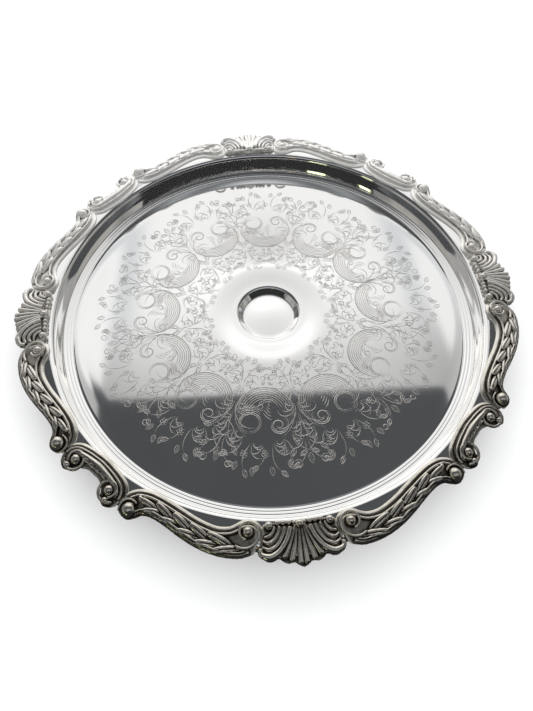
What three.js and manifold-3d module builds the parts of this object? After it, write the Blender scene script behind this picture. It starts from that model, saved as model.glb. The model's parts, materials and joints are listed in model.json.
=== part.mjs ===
// Round silver salver with a shell-and-scroll border, standing on four scroll feet.
// Millimetres, +Z up. The origin is on the table, under the middle of the tray.
import * as THREE from 'three';
import { mergeVertices } from 'three/addons/utils/BufferGeometryUtils.js';
import Module from 'manifold-3d';

// ---- driving dimensions -------------------------------------------------------------------

const PLATE_RADIUS = 128.5; // flat engraved plate, out to its first reed
const SHEET = 1.2; // thickness of the spun tray sheet
const FOOT_HEIGHT = 9.3; // table to the underside of the plate

const RECESS_RADIUS = 17.0; // flat floor of the centre recess
const RECESS_DEPTH = 5.6; // floor below the plate
const RECESS_SLOPE = 2.6; // how far the recess wall leans outwards
const LIP_WIDTH = 2.9; // round shoulder between the wall and the dish
const LIP_DROP = 0.9; // inner edge of the shoulder, below the dish
const DISH_RADIUS = 39; // the plate dips gently from here to the shoulder
const DISH_DIP = 1.3;

const REEDS = 3; // fine rolled steps round the plate
const REED_WIDTH = 1.8;
const REED_RISE = 0.4;
const WALL_LEAN = 3.3; // outward lean of the raised wall
const WALL_HEIGHT = 13.75; // wall from the last reed to the flange
const WALL_ROLL = 3.2; // radius of the roll at the top of the wall

const BORDER_WIDTH = 22.8; // from the top of the wall to the tip of a shell
const FLANGE_INSET = 1.2; // the mounts overhang the edge of the flange
const SOLDER_GAP = 0.3; // between a soldered piece and what it sits on

const SHELL_RISE = 5.2; // heights of the cast mounts above the flange
const LEAF_RISE = 4.4;
const C_RISE = 4.4;
const MOUNT_BEVEL = 1.3; // rounded upper edge of a mount
const EYE_RADIUS = 3.3; // ball at the end of a scroll
const C_EYE_RADIUS = 2.9;
const RIB_RADIUS = 1.25; // half round flute of a shell

const FOOT_INSET = 16.5; // from the edge of the plate in to the middle of a foot
const FOOT_WIDTH = 12;
const FOOT_REACH = 9; // half length of the pad under the plate
const FOOT_PAD = 1.6; // thickness of that pad

const QUARTER = 90; // the border repeats every quarter turn
const RING_SEGMENTS = 72;

// ---- what follows from them ---------------------------------------------------------------

const plateTop = FOOT_HEIGHT + SHEET;
const reedTop = plateTop + REEDS * REED_RISE;
const wallFoot = PLATE_RADIUS + REEDS * REED_WIDTH;
const flangeTop = reedTop + WALL_HEIGHT;
const borderInner = wallFoot + WALL_LEAN;
const rollEnd = borderInner + WALL_ROLL * 0.35; // where the roll meets the flange
const borderTip = borderInner + BORDER_WIDTH;
const mountBase = flangeTop + SOLDER_GAP;
const footCircle = PLATE_RADIUS - FOOT_INSET;

const SILVER = { color: 0xd9d9d6, roughness: 0.16, metalness: 1 };
const CAST_SILVER = { color: 0xb9b6ae, roughness: 0.32, metalness: 1 };

const wasm = await Module();
wasm.setup();

// ---- helpers ------------------------------------------------------------------------------

const toRadians = THREE.MathUtils.degToRad;

// A point of the border: degrees clockwise from the mount's own middle line, and how far out
// it is, as a share of the border's width. The mount's frame has +Y outwards.
function borderPoint([degrees, share], inset = 0) {
  const radius = borderInner + share * BORDER_WIDTH - inset;
  const angle = toRadians(degrees);
  return new THREE.Vector2(radius * Math.sin(angle), radius * Math.cos(angle));
}

function mirrored(knots) {
  return knots.map(([degrees, share]) => [-degrees, share]).reverse();
}

function solidOf(geometry) {
  const bare = geometry.clone();
  bare.deleteAttribute('normal');
  bare.deleteAttribute('uv');
  const merged = mergeVertices(bare, 1e-4);
  return new wasm.Manifold(new wasm.Mesh({
    numProp: 3,
    vertProperties: new Float32Array(merged.attributes.position.array),
    triVerts: new Uint32Array(merged.index.array),
  }));
}

function geometryOf(solid) {
  const mesh = solid.getMesh();
  const geometry = new THREE.BufferGeometry();
  geometry.setAttribute('position', new THREE.BufferAttribute(mesh.vertProperties, 3));
  geometry.setIndex(new THREE.BufferAttribute(mesh.triVerts, 1));
  geometry.computeVertexNormals();
  return geometry;
}

// Joins the pieces of a cast mount and cuts it flat where it lies on the flange.
function flatBacked(geometries) {
  const whole = geometries.map(solidOf).reduce((sum, next) => sum.add(next));
  const height = 2 * SHELL_RISE;
  const above = new THREE.BoxGeometry(2 * borderTip, 2 * borderTip, height);
  above.translate(0, borderTip, mountBase + height / 2);
  return geometryOf(whole.intersect(solidOf(above)));
}

function piece(name, geometry, finish) {
  const mesh = new THREE.Mesh(geometry, new THREE.MeshStandardMaterial(finish));
  mesh.name = name;
  return mesh;
}

// Smooth closed outline through border knots, as a shape that can be extruded.
function outlineShape(knots, pointsPerKnot) {
  const corners = knots.map((knot) => {
    const at = borderPoint(knot);
    return new THREE.Vector3(at.x, at.y, 0);
  });
  const curve = new THREE.CatmullRomCurve3(corners, true, 'centripetal');
  const points = curve.getPoints(knots.length * pointsPerKnot);
  points.pop();
  return new THREE.Shape(points.map((at) => new THREE.Vector2(at.x, at.y)));
}

// The bed of a cast mount: its outline, with rounded edges, risen above the flange.
function castBody(knots, rise) {
  const body = new THREE.ExtrudeGeometry(outlineShape(knots, 2), {
    depth: rise - MOUNT_BEVEL,
    bevelThickness: MOUNT_BEVEL,
    bevelSize: MOUNT_BEVEL,
    bevelOffset: -MOUNT_BEVEL,
    bevelSegments: 1,
  });
  body.translate(0, 0, mountBase);
  return body;
}

function ballEye(knot, radius, rise) {
  const ball = new THREE.SphereGeometry(radius, 10, 8);
  const at = borderPoint(knot);
  ball.rotateX(Math.PI / 2);
  ball.translate(at.x, at.y, mountBase + rise - radius / 2);
  return ball;
}

// ---- the spun tray ------------------------------------------------------------------------

// Upper side of the sheet, from the axis out to the flange.
function upperProfile() {
  const recessFloor = plateTop - RECESS_DEPTH;
  const lipInner = RECESS_RADIUS + RECESS_SLOPE;
  const lipOuter = lipInner + LIP_WIDTH;
  const dishFloor = plateTop - DISH_DIP;
  const profile = [
    [0, recessFloor],
    [RECESS_RADIUS - 1, recessFloor],
    [RECESS_RADIUS, recessFloor + 0.4],
    [lipInner, dishFloor - LIP_DROP],
    [(lipInner + lipOuter) / 2, dishFloor - LIP_DROP / 4],
    [lipOuter, dishFloor],
    [DISH_RADIUS, plateTop],
    [PLATE_RADIUS, plateTop],
  ];
  for (let reed = 0; reed < REEDS; reed += 1) {
    const start = PLATE_RADIUS + reed * REED_WIDTH;
    const level = plateTop + reed * REED_RISE;
    profile.push([start + REED_WIDTH * 0.35, level + REED_RISE * 1.1]);
    profile.push([start + REED_WIDTH, level + REED_RISE]);
  }
  const rollSteps = 4;
  for (let step = 0; step <= rollSteps; step += 1) {
    const turn = (step / rollSteps) * (Math.PI / 2);
    profile.push([
      rollEnd - WALL_ROLL * Math.cos(turn),
      flangeTop - WALL_ROLL * (1 - Math.sin(turn)),
    ]);
  }
  profile.push([borderTip, flangeTop]);
  return profile;
}

// Underside of the sheet, from the flange back to the axis. It is plain where the top is reeded.
function lowerProfile() {
  const recessUnder = plateTop - RECESS_DEPTH - SHEET;
  const recessOuter = RECESS_RADIUS + SHEET;
  return [
    [borderTip, flangeTop - SHEET],
    [rollEnd, flangeTop - SHEET],
    [rollEnd - (WALL_ROLL - SHEET) * 0.7, flangeTop - WALL_ROLL + (WALL_ROLL - SHEET) * 0.7],
    [rollEnd - WALL_ROLL + SHEET, flangeTop - WALL_ROLL],
    [wallFoot + SHEET, reedTop - SHEET / 2],
    [wallFoot, reedTop - 1.5 * SHEET],
    [PLATE_RADIUS, FOOT_HEIGHT],
    [DISH_RADIUS, FOOT_HEIGHT],
    [recessOuter + RECESS_SLOPE, FOOT_HEIGHT - DISH_DIP],
    [recessOuter, recessUnder + 0.4],
    [recessOuter - 1, recessUnder],
    [0, recessUnder],
  ];
}

// Outer knots of the mounts, which the edge of the flange follows just inside.
const SHELL_EDGE = [
  [0, 1], [0.85, 0.955], [1.65, 0.895], [2.7, 0.917], [3.7, 0.868], [4.45, 0.812],
  [5.3, 0.864], [6.2, 0.88], [7.4, 0.81], [8.3, 0.7],
];
const LEAF_EDGE = [
  [8.8, 0.69], [10, 0.78], [12, 0.845], [15.5, 0.85], [19.3, 0.785], [23, 0.675],
  [26.8, 0.555], [29.8, 0.515], [31.5, 0.56], [32.4, 0.67], [33.7, 0.78], [35.2, 0.765],
  [36.25, 0.685],
];
const C_EDGE = [
  [-7.9, 0.67], [-6.8, 0.785], [-5.45, 0.815], [-4.2, 0.7], [-3.1, 0.54], [-1.6, 0.444],
  [0, 0.434],
];
const DIAGONAL = 45; // a C-scroll sits midway between two shells

function flangeOutline() {
  const eighth = [
    ...SHELL_EDGE,
    ...LEAF_EDGE,
    ...C_EDGE.map(([degrees, share]) => [degrees + DIAGONAL, share]),
  ];
  const quarter = [...eighth, ...mirrored(eighth.slice(1, -1)).map(([degrees, share]) => {
    return [degrees + QUARTER, share];
  })];
  const corners = [];
  for (let turn = 0; turn < 360; turn += QUARTER) {
    for (const [degrees, share] of quarter) {
      corners.push(borderPoint([degrees + turn, share], FLANGE_INSET));
    }
  }
  return new THREE.Shape(corners);
}

function trayBody() {
  const profile = [...upperProfile(), ...lowerProfile()].reverse();
  const spun = new THREE.LatheGeometry(
    profile.map(([radius, height]) => new THREE.Vector2(radius, height)),
    RING_SEGMENTS,
  );
  spun.rotateX(Math.PI / 2);
  const trimmer = new THREE.ExtrudeGeometry(flangeOutline(), {
    depth: 2 * flangeTop,
    bevelEnabled: false,
  });
  return piece('tray_body', geometryOf(solidOf(spun).intersect(solidOf(trimmer))), SILVER);
}

// ---- the soldered border ------------------------------------------------------------------

const SHELL_SIDE = [[7.8, 0.46], [7.75, 0.26], [7.3, 0.11], [5, 0.075], [2.4, 0.07]];
const SHELL_RIBS = [0, 1, 2]; // flutes each side of the middle one
const RIB_SPREAD = 2.35; // degrees between the tips of two flutes

// Half-round flutes that fan out from the root of the shell.
function shellRib(step, side) {
  const root = borderPoint([side * step * 0.35, 0.1]);
  const tip = borderPoint([side * step * RIB_SPREAD, 0.8 - 0.035 * step]);
  const length = root.distanceTo(tip);
  const outline = [[0, 0], [0.5, 0.06], [0.75, 0.4], [1, 0.85], [0.7, 0.97], [0, 1]];
  const rib = new THREE.LatheGeometry(
    outline.map(([across, along]) => new THREE.Vector2(across * RIB_RADIUS, along * length)),
    8,
  );
  rib.rotateZ(Math.atan2(root.x - tip.x, tip.y - root.y));
  rib.translate(root.x, root.y, mountBase + SHELL_RISE - RIB_RADIUS / 3);
  return rib;
}

function shellMount() {
  const half = [...SHELL_EDGE.slice(1), ...SHELL_SIDE];
  const knots = [SHELL_EDGE[0], ...half, [0, 0.02], ...mirrored(half)];
  const parts = [castBody(knots, SHELL_RISE)];
  for (const step of SHELL_RIBS) {
    parts.push(shellRib(step, 1));
    if (step > 0) {
      parts.push(shellRib(step, -1));
    }
  }
  return flatBacked(parts);
}

const LEAF_INNER = [
  [36.25, 0.48], [35.6, 0.32], [34.3, 0.185], [32.1, 0.11], [29.2, 0.105], [25, 0.175],
  [21, 0.28], [17.1, 0.355], [14.3, 0.33], [12.6, 0.245], [11.4, 0.155], [10.1, 0.125],
  [8.9, 0.18], [8.25, 0.31], [8.3, 0.48],
];
const LEAF_EYES = [[10, 0.3], [34.1, 0.57]];

// side is 1 for a scroll clockwise of its shell and -1 for its mirror image
function leafScroll(side) {
  const outline = [...LEAF_EDGE, ...LEAF_INNER];
  const knots = side > 0 ? outline : mirrored(outline);
  const eyes = LEAF_EYES.map(([degrees, share]) => {
    return ballEye([side * degrees, share], EYE_RADIUS, LEAF_RISE);
  });
  return flatBacked([castBody(knots, LEAF_RISE), ...eyes]);
}

const C_INNER = [[0, 0.06], [-2.2, 0.08], [-4.3, 0.12], [-6.6, 0.21], [-7.9, 0.37], [-8.1, 0.53]];
const C_EYE = [-4.9, 0.47];

function cScroll() {
  const outerHalf = C_EDGE.slice(0, -1);
  const innerHalf = C_INNER.slice(1);
  const knots = [
    ...outerHalf,
    C_EDGE.at(-1),
    ...mirrored(outerHalf),
    ...mirrored(innerHalf),
    C_INNER[0],
    ...innerHalf,
  ];
  const eyes = [-1, 1].map((side) => {
    return ballEye([side * C_EYE[0], C_EYE[1]], C_EYE_RADIUS, C_RISE);
  });
  return flatBacked([castBody(knots, C_RISE), ...eyes]);
}

// ---- feet ---------------------------------------------------------------------------------

// Scroll foot: a pad under the plate, a curved leg, and a toe that turns outwards.
function scrollFoot() {
  const top = FOOT_HEIGHT - SOLDER_GAP;
  const neck = top - FOOT_PAD;
  const toe = top * 0.3;
  const side = new THREE.Shape();
  side.moveTo(-FOOT_REACH, top);
  side.lineTo(-FOOT_REACH, neck + FOOT_PAD / 3);
  side.quadraticCurveTo(-FOOT_REACH * 0.3, neck, -FOOT_REACH * 0.35, toe);
  side.quadraticCurveTo(-FOOT_REACH * 0.35, 0, 0, 0);
  side.lineTo(FOOT_REACH * 0.75, 0);
  side.absarc(FOOT_REACH * 0.75, toe * 0.8, toe * 0.8, -Math.PI / 2, Math.PI * 0.7, false);
  side.quadraticCurveTo(FOOT_REACH * 0.15, neck * 0.45, FOOT_REACH, neck + FOOT_PAD / 3);
  side.lineTo(FOOT_REACH, top);
  const foot = new THREE.ExtrudeGeometry(side, {
    depth: FOOT_WIDTH,
    bevelEnabled: false,
    curveSegments: 6,
  });
  foot.translate(0, 0, -FOOT_WIDTH / 2);
  foot.rotateX(Math.PI / 2);
  foot.rotateZ(Math.PI / 2);
  foot.translate(0, footCircle, 0);
  return foot;
}

// ---- assembly -----------------------------------------------------------------------------

const salver = new THREE.Group();
salver.add(trayBody());

// Compass of the tray seen from above, clockwise, starting at the back.
const SIDES = ['back', 'right', 'front', 'left'];
const shellGeometry = shellMount();
const leafGeometries = new Map([[1, leafScroll(1)], [-1, leafScroll(-1)]]);
const cGeometry = cScroll();
const footGeometry = scrollFoot();

SIDES.forEach((side, index) => {
  const next = SIDES[(index + 1) % SIDES.length];
  const before = SIDES[(index + SIDES.length - 1) % SIDES.length];

  const onAxis = new THREE.Group();
  onAxis.rotation.z = -toRadians(index * QUARTER);
  onAxis.add(piece(`shell_mount_${side}`, shellGeometry, CAST_SILVER));
  onAxis.add(piece(`leaf_scroll_${side}_${next}`, leafGeometries.get(1), CAST_SILVER));
  onAxis.add(piece(`leaf_scroll_${side}_${before}`, leafGeometries.get(-1), CAST_SILVER));
  salver.add(onAxis);

  const onDiagonal = new THREE.Group();
  onDiagonal.rotation.z = -toRadians(index * QUARTER + DIAGONAL);
  onDiagonal.add(piece(`c_scroll_${side}_${next}`, cGeometry, CAST_SILVER));
  onDiagonal.add(piece(`foot_${side}_${next}`, footGeometry, CAST_SILVER));
  salver.add(onDiagonal);
});

export default salver;
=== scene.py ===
# %% [markdown]
# # A round silver salver with a shell-and-scroll border
#
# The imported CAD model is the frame: it says where the tray, the soldered mounts and the feet are.
# This lesson builds the fine surfaces on it: a mirror-bright spun tray, cast shells, leafy scrolls
# and C-scrolls with tarnish in their hollows, the engraving on the plate, and the scroll feet.

# %% Load the frame
import json
import math
import random

import bmesh
import bpy
import numpy as np
from mathutils import Matrix, Vector


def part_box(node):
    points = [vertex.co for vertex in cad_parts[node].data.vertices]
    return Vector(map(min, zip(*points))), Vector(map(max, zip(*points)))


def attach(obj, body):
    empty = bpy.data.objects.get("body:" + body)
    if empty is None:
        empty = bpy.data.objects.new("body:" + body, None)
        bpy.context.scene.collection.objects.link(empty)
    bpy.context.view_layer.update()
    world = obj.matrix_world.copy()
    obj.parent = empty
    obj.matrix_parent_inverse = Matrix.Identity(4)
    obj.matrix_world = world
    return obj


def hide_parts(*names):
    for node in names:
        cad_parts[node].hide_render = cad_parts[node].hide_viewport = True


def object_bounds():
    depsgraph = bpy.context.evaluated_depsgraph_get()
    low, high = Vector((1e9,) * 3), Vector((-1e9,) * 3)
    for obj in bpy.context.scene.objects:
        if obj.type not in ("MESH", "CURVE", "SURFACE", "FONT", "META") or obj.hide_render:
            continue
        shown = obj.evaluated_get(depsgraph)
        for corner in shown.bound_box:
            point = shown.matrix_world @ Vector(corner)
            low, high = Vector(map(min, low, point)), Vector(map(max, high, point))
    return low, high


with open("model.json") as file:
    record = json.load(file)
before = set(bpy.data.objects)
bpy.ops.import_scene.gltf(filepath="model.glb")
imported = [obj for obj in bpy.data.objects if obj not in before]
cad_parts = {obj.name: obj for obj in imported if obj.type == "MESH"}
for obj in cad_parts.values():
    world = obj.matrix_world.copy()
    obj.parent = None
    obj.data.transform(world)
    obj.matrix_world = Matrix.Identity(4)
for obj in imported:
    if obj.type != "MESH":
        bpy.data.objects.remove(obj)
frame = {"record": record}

cad_box = [list(corner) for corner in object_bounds()]
print("CAD box", cad_box)

# %% [markdown]
# ## Sizes
#
# Heights come from the frame. The few radii that the frame doesn't name are the driving sizes of
# the spun sheet, in metres.

# %% Driving sizes
MM = 0.001
mounts = {mount["name"]: mount for mount in frame["record"]["mounts"]}
PLATE_TOP = mounts["serving_face"]["pos_m"][2]
FLANGE_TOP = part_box("tray_body")[1].z
MOUNT_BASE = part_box("shell_mount_front")[0].z
TIP_RADIUS = cad_box[1][0]
TRAY_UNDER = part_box("tray_body")[0].z
FOOT_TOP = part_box("foot_back_right")[1].z

SHEET = 1.2 * MM
PLATE_RADIUS = 128.5 * MM
WALL_FOOT = 133.9 * MM
BORDER_INNER = 137.2 * MM
BORDER_WIDTH = TIP_RADIUS - BORDER_INNER
FLANGE_INSET = 1.2 * MM
print("plate at", PLATE_TOP, "flange at", FLANGE_TOP, "border width", BORDER_WIDTH)

# %% [markdown]
# ## Camera
#
# The tray is seen from above its front edge, close, through a wide lens. Its horizon is level with
# the table within a fraction of a degree.

# %% Camera
CAMERA_PLACE = Vector((-0.0216, -0.18112, 0.26754 + PLATE_TOP))
CAMERA_TURN = (math.radians(29.003), math.radians(-0.184), math.radians(-6.090))
SENSOR = 36.0
LENS = 24.385

camera_data = bpy.data.cameras.new("camera")
camera_data.sensor_width = SENSOR
camera_data.lens = LENS
camera_data.clip_start = 0.01
camera = bpy.data.objects.new("camera", camera_data)
camera.location = CAMERA_PLACE
camera.rotation_euler = CAMERA_TURN
bpy.context.scene.collection.objects.link(camera)
bpy.context.scene.camera = camera
bpy.context.scene.view_settings.view_transform = "Standard"
print("camera at", CAMERA_PLACE)

# %% [markdown]
# ## Shader arithmetic
#
# A surface reads best as a formula. `Term` wraps one socket, so `0.4 + 0.6 * wear` adds its Math
# nodes by itself, and `Recipe` holds one material's nodes.

# %% Shader helpers
MIX_INPUTS = (0, 6, 7)  # the colour mix node's factor and its two colours
MIX_OUTPUT = 2


class Term:
    """One socket of a node tree, with the arithmetic that the recipes use."""

    def __init__(self, recipe, socket):
        self.recipe = recipe
        self.socket = socket

    def _math(self, operation, left, right):
        return self.recipe.node("ShaderNodeMath", {"operation": operation}, [left, right])

    def __add__(self, other):
        return self._math("ADD", self, other)

    __radd__ = __add__

    def __sub__(self, other):
        return self._math("SUBTRACT", self, other)

    def __rsub__(self, other):
        return self._math("SUBTRACT", other, self)

    def __mul__(self, other):
        return self._math("MULTIPLY", self, other)

    __rmul__ = __mul__

    def __truediv__(self, other):
        return self._math("DIVIDE", self, other)

    def step(self, low, high):
        """0 below low, 1 above high, smooth between."""
        settings = {"interpolation_type": "SMOOTHSTEP"}
        return self.recipe.node("ShaderNodeMapRange", settings, [self, low, high, 0.0, 1.0])

    def bell(self, middle, width):
        """1 at the middle, falling away on both sides."""
        away = (self - middle) / width
        return self._math("EXPONENT", 0.0 - away * away, 0.0)

    def at_least(self, other):
        return self._math("MAXIMUM", self, other)

    def at_most(self, other):
        return self._math("MINIMUM", self, other)


class Recipe:
    """A material's nodes, added one call at a time."""

    def __init__(self, name):
        self.material = bpy.data.materials.new(name)
        self.material.use_nodes = True
        self.tree = self.material.node_tree
        self.tree.nodes.clear()
        self.output = self.tree.nodes.new("ShaderNodeOutputMaterial")

    def node(self, kind, settings=None, inputs=(), output=0):
        made = self.tree.nodes.new(kind)
        for key, value in (settings or {}).items():
            setattr(made, key, value)
        pairs = inputs.items() if isinstance(inputs, dict) else enumerate(inputs)
        for key, value in pairs:
            if isinstance(value, Term):
                self.tree.links.new(value.socket, made.inputs[key])
            elif value is not None:
                made.inputs[key].default_value = value
        return Term(self, made.outputs[output])

    def place(self, scale=(1.0, 1.0, 1.0)):
        """Object coordinates, stretched."""
        at = self.node("ShaderNodeTexCoord", output="Object")
        return self.node("ShaderNodeMapping", {}, {"Vector": at, "Scale": scale})

    def noise(self, at, scale, detail=3.0, roughness=0.5):
        inputs = {"Vector": at, "Scale": scale, "Detail": detail, "Roughness": roughness}
        return self.node("ShaderNodeTexNoise", {}, inputs)

    def blend(self, factor, low, high):
        """A colour between two colours."""
        made = self.tree.nodes.new("ShaderNodeMix")
        made.data_type = "RGBA"
        for socket, value in zip(MIX_INPUTS, (factor, low, high)):
            if isinstance(value, Term):
                self.tree.links.new(value.socket, made.inputs[socket])
            else:
                made.inputs[socket].default_value = value
        return Term(self, made.outputs[MIX_OUTPUT])

    def bump(self, height, strength, distance):
        inputs = {"Strength": strength, "Distance": distance, "Height": height}
        return self.node("ShaderNodeBump", {}, inputs)

    def metal(self, colour, roughness, normal=None, metallic=1.0, alpha=1.0):
        inputs = {"Base Color": colour, "Roughness": roughness, "Metallic": metallic}
        inputs["Alpha"] = alpha
        if normal is not None:
            inputs["Normal"] = normal
        shader = self.node("ShaderNodeBsdfPrincipled", {}, inputs)
        self.tree.links.new(shader.socket, self.output.inputs["Surface"])
        return self.material

    def glow(self, colour, strength):
        """A surface that only gives off light."""
        inputs = {"Base Color": rgb(0, 0, 0), "Roughness": 1.0, "Specular IOR Level": 0.0}
        inputs.update({"Emission Color": colour, "Emission Strength": strength})
        shader = self.node("ShaderNodeBsdfPrincipled", {}, inputs)
        self.tree.links.new(shader.socket, self.output.inputs["Surface"])
        return self.material


def rgb(red, green, blue):
    return (red, green, blue, 1.0)


# %% [markdown]
# ## Studio
#
# A mirror shows its surroundings, so the studio matters more than the lights. The plate lies flat
# and is seen from above its front edge, so it mirrors a window ceiling whose lit part begins behind
# the tray and runs back to a bright far wall. The side walls are dim, and the room in front is
# dark. The panels light the silver but the camera doesn't see them. The pale floor is lit by one
# very soft sun, and the silver mirrors neither of the two. It is solid from above and clear from
# below, so that the feet can be seen.

# %% Floor
FLOOR_RADIUS = 6.0
CEILING = 1.2
HALF_ROOM = 2.6
ROOM_DEPTH = 3.0
CEILING_FRONT = 0.9  # how far the ceiling reaches in front of the tray's middle


def finish_mesh(mesh, name, material, smooth=True):
    """Turns a bmesh into an object whose place is in its mesh."""
    data = bpy.data.meshes.new(name)
    mesh.to_mesh(data)
    mesh.free()
    data.materials.append(material)
    if smooth:
        data.shade_smooth()
    made = bpy.data.objects.new(name, data)
    bpy.context.scene.collection.objects.link(made)
    return made


floor_mesh = bmesh.new()
bmesh.ops.create_circle(floor_mesh, cap_ends=True, segments=64, radius=FLOOR_RADIUS)
paper = Recipe("floor_paper")
grain = paper.noise(paper.place(), 900.0, 2.0)
tone = paper.blend(grain, rgb(0.90, 0.90, 0.90), rgb(0.94, 0.94, 0.94))
from_above = 1 - paper.node("ShaderNodeNewGeometry", output="Backfacing")
paper.metal(tone, 0.9, metallic=0.0, alpha=from_above)
floor = finish_mesh(floor_mesh, "floor", paper.material, smooth=False)
floor.visible_glossy = False


# %% [markdown]
# ### Window ceiling
#
# The light isn't even: it fades towards the front, dips above the middle, darkens and turns bluish
# beside two curtains, and ends at a straight blind with dark corners. In front of the blind only
# two faint strips of light are left. The formula's unit is the stretch of ceiling that a tenth of a
# metre of the plate mirrors.

# %% Window ceiling
MIRRORED_MIDDLE = (0.097, 0.8125)  # the place on the ceiling that the plate's middle mirrors
MIRRORED_UNIT = 0.549


def window_light():
    recipe = Recipe("window_light")
    at = recipe.node("ShaderNodeTexCoord", output="Object")
    x = recipe.node("ShaderNodeSeparateXYZ", {}, [at], 0)
    across = (x - MIRRORED_MIDDLE[0]) / MIRRORED_UNIT
    y = recipe.node("ShaderNodeSeparateXYZ", {}, [at], 1)
    out = (y - MIRRORED_MIDDLE[1]) / MIRRORED_UNIT
    soft = recipe.noise(recipe.place((1.0, 0.6, 1.0)), 2.2, 3.0)
    folds = recipe.noise(recipe.place((7.0, 0.5, 1.0)), 1.6, 3.0)

    left = -0.96 - 0.07 * (1 - out)
    right = 1.03 + 0.045 * (1 - out)
    beyond = (left - across).step(-0.01, 0.04) + (across - right).step(-0.01, 0.04)
    beside = (across - left).bell(0.07, 0.09) + (across - right).bell(-0.07, 0.09)
    beside = beside * out.step(-0.7, 0.4)
    near = 1 - out.step(-0.65, 0.15)
    dip = across.bell(0.03, 0.3) * out.bell(0.42, 0.36)
    lamp = across.bell(0.0, 0.42) * out.bell(0.24, 0.2)
    level = 0.93 + 0.7 * out.step(1.2, 2.2) - 0.28 * dip + 0.4 * lamp
    level = level - near * (0.28 + 0.2 * across * across)
    level = level + 0.12 * (soft - 0.5) - 0.22 * beside
    aside = 0.92 - 0.55 * (across * across).step(2.0, 2.9) * (1 - out.step(0.6, 1.4))
    level = level + beyond.at_most(1.0) * (aside + 0.3 * (folds - 0.5) - level)

    blind = -0.615 - 0.062 * across
    blind = blind.at_least(-0.53 + 1.6 * (-1.04 - across))
    blind = blind.at_least(-0.69 + 1.64 * (across - 1.04)).at_most(-0.12)
    lit = (out - blind).step(-0.012, 0.012)
    strips = (0.3 * out.bell(-2.05, 0.3) + 0.8 * out.bell(-2.86, 0.26)) * across.bell(0.0, 2.2)
    dim = 0.07 + 0.02 * soft + strips
    level = dim + lit * (level - dim)
    cold = 0.06 * beside * lit + 0.1 * (1 - lit)
    parts = [level * (1 - cold), level * (1 - 0.5 * cold), level]
    colour = recipe.node("ShaderNodeCombineColor", {}, parts)
    return recipe.glow(colour, 1.0)


def wall_light(name, strength):
    """A lit wall with darker bays, as windows and the piers between them."""
    recipe = Recipe(name)
    bays = recipe.noise(recipe.place((1.0, 1.0, 0.25)), 1.3, 2.0)
    tone = recipe.blend(bays.step(0.3, 0.6), rgb(0.55, 0.55, 0.54), rgb(1.0, 0.98, 0.94))
    return recipe.glow(tone, strength)


# %% Panels
def card(name, material, middle, size, facing):
    """A flat panel whose front looks along facing."""
    mesh = bmesh.new()
    bmesh.ops.create_grid(mesh, x_segments=1, y_segments=1, size=0.5)
    bmesh.ops.scale(mesh, vec=(*size, 1), verts=mesh.verts)
    turn = Vector(facing).to_track_quat("Z", "Y").to_matrix().to_4x4()
    bmesh.ops.transform(mesh, matrix=Matrix.Translation(middle) @ turn, verts=mesh.verts)
    made = finish_mesh(mesh, name, material, smooth=False)
    made.visible_shadow = False
    made.visible_camera = False


depth = ROOM_DEPTH + CEILING_FRONT
card("ceiling", window_light(), (0, depth / 2 - CEILING_FRONT, CEILING),
     (2 * HALF_ROOM, depth), (0, 0, -1))
wall_middle = CEILING / 2
card("far_wall", wall_light("far_light", 1.3), (0, ROOM_DEPTH, wall_middle),
     (2 * HALF_ROOM, CEILING), (0, -1, 0))
side_light = wall_light("side_light", 0.4)
for hand in (-1, 1):
    card(f"side_wall_{'left' if hand < 0 else 'right'}", side_light,
         (hand * HALF_ROOM, 0.7, wall_middle), (4.4, CEILING), (-hand, 0, 0))

leafy_window = Recipe("leafy_window")
leafy_window.glow(rgb(0.84, 0.92, 0.55), 3.0)
small_lamp = Recipe("small_lamp")
small_lamp.glow(rgb(1.0, 0.62, 0.22), 3.0)
card("window_one", leafy_window.material, (-1.5, -2.6, 0.5), (0.46, 0.3), (1.5, 2.6, -0.4))
card("window_two", leafy_window.material, (-2.3, -1.6, 0.58), (0.28, 0.34), (2.3, 1.6, -0.4))
card("lamp", small_lamp.material, (-0.5, -1.5, 1.5), (0.1, 0.1), (0.5, 1.5, -1.4))

# %% Room and sun
ROOM_GREY = 0.03
SUN_STRENGTH = 5.6
SUN_SPREAD = 120  # degrees

world = bpy.data.worlds.new("room")
world.use_nodes = True
nodes = world.node_tree.nodes
links = world.node_tree.links
nodes.clear()
light_path = nodes.new("ShaderNodeLightPath")
room_light = nodes.new("ShaderNodeBackground")
room_light.inputs["Color"].default_value = rgb(0.95, 0.97, 1.0)
room_light.inputs["Strength"].default_value = ROOM_GREY
paper_sky = nodes.new("ShaderNodeBackground")
paper_sky.inputs["Color"].default_value = rgb(1.0, 1.0, 1.0)
mixer = nodes.new("ShaderNodeMixShader")
world_output = nodes.new("ShaderNodeOutputWorld")
links.new(light_path.outputs["Is Camera Ray"], mixer.inputs["Fac"])
links.new(room_light.outputs[0], mixer.inputs[1])
links.new(paper_sky.outputs[0], mixer.inputs[2])
links.new(mixer.outputs[0], world_output.inputs["Surface"])
bpy.context.scene.world = world

sun_data = bpy.data.lights.new("sun", "SUN")
sun_data.energy = SUN_STRENGTH
sun_data.angle = math.radians(SUN_SPREAD)
sun = bpy.data.objects.new("sun", sun_data)
sun.visible_glossy = False
bpy.context.scene.collection.objects.link(sun)
print("studio ready")
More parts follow.
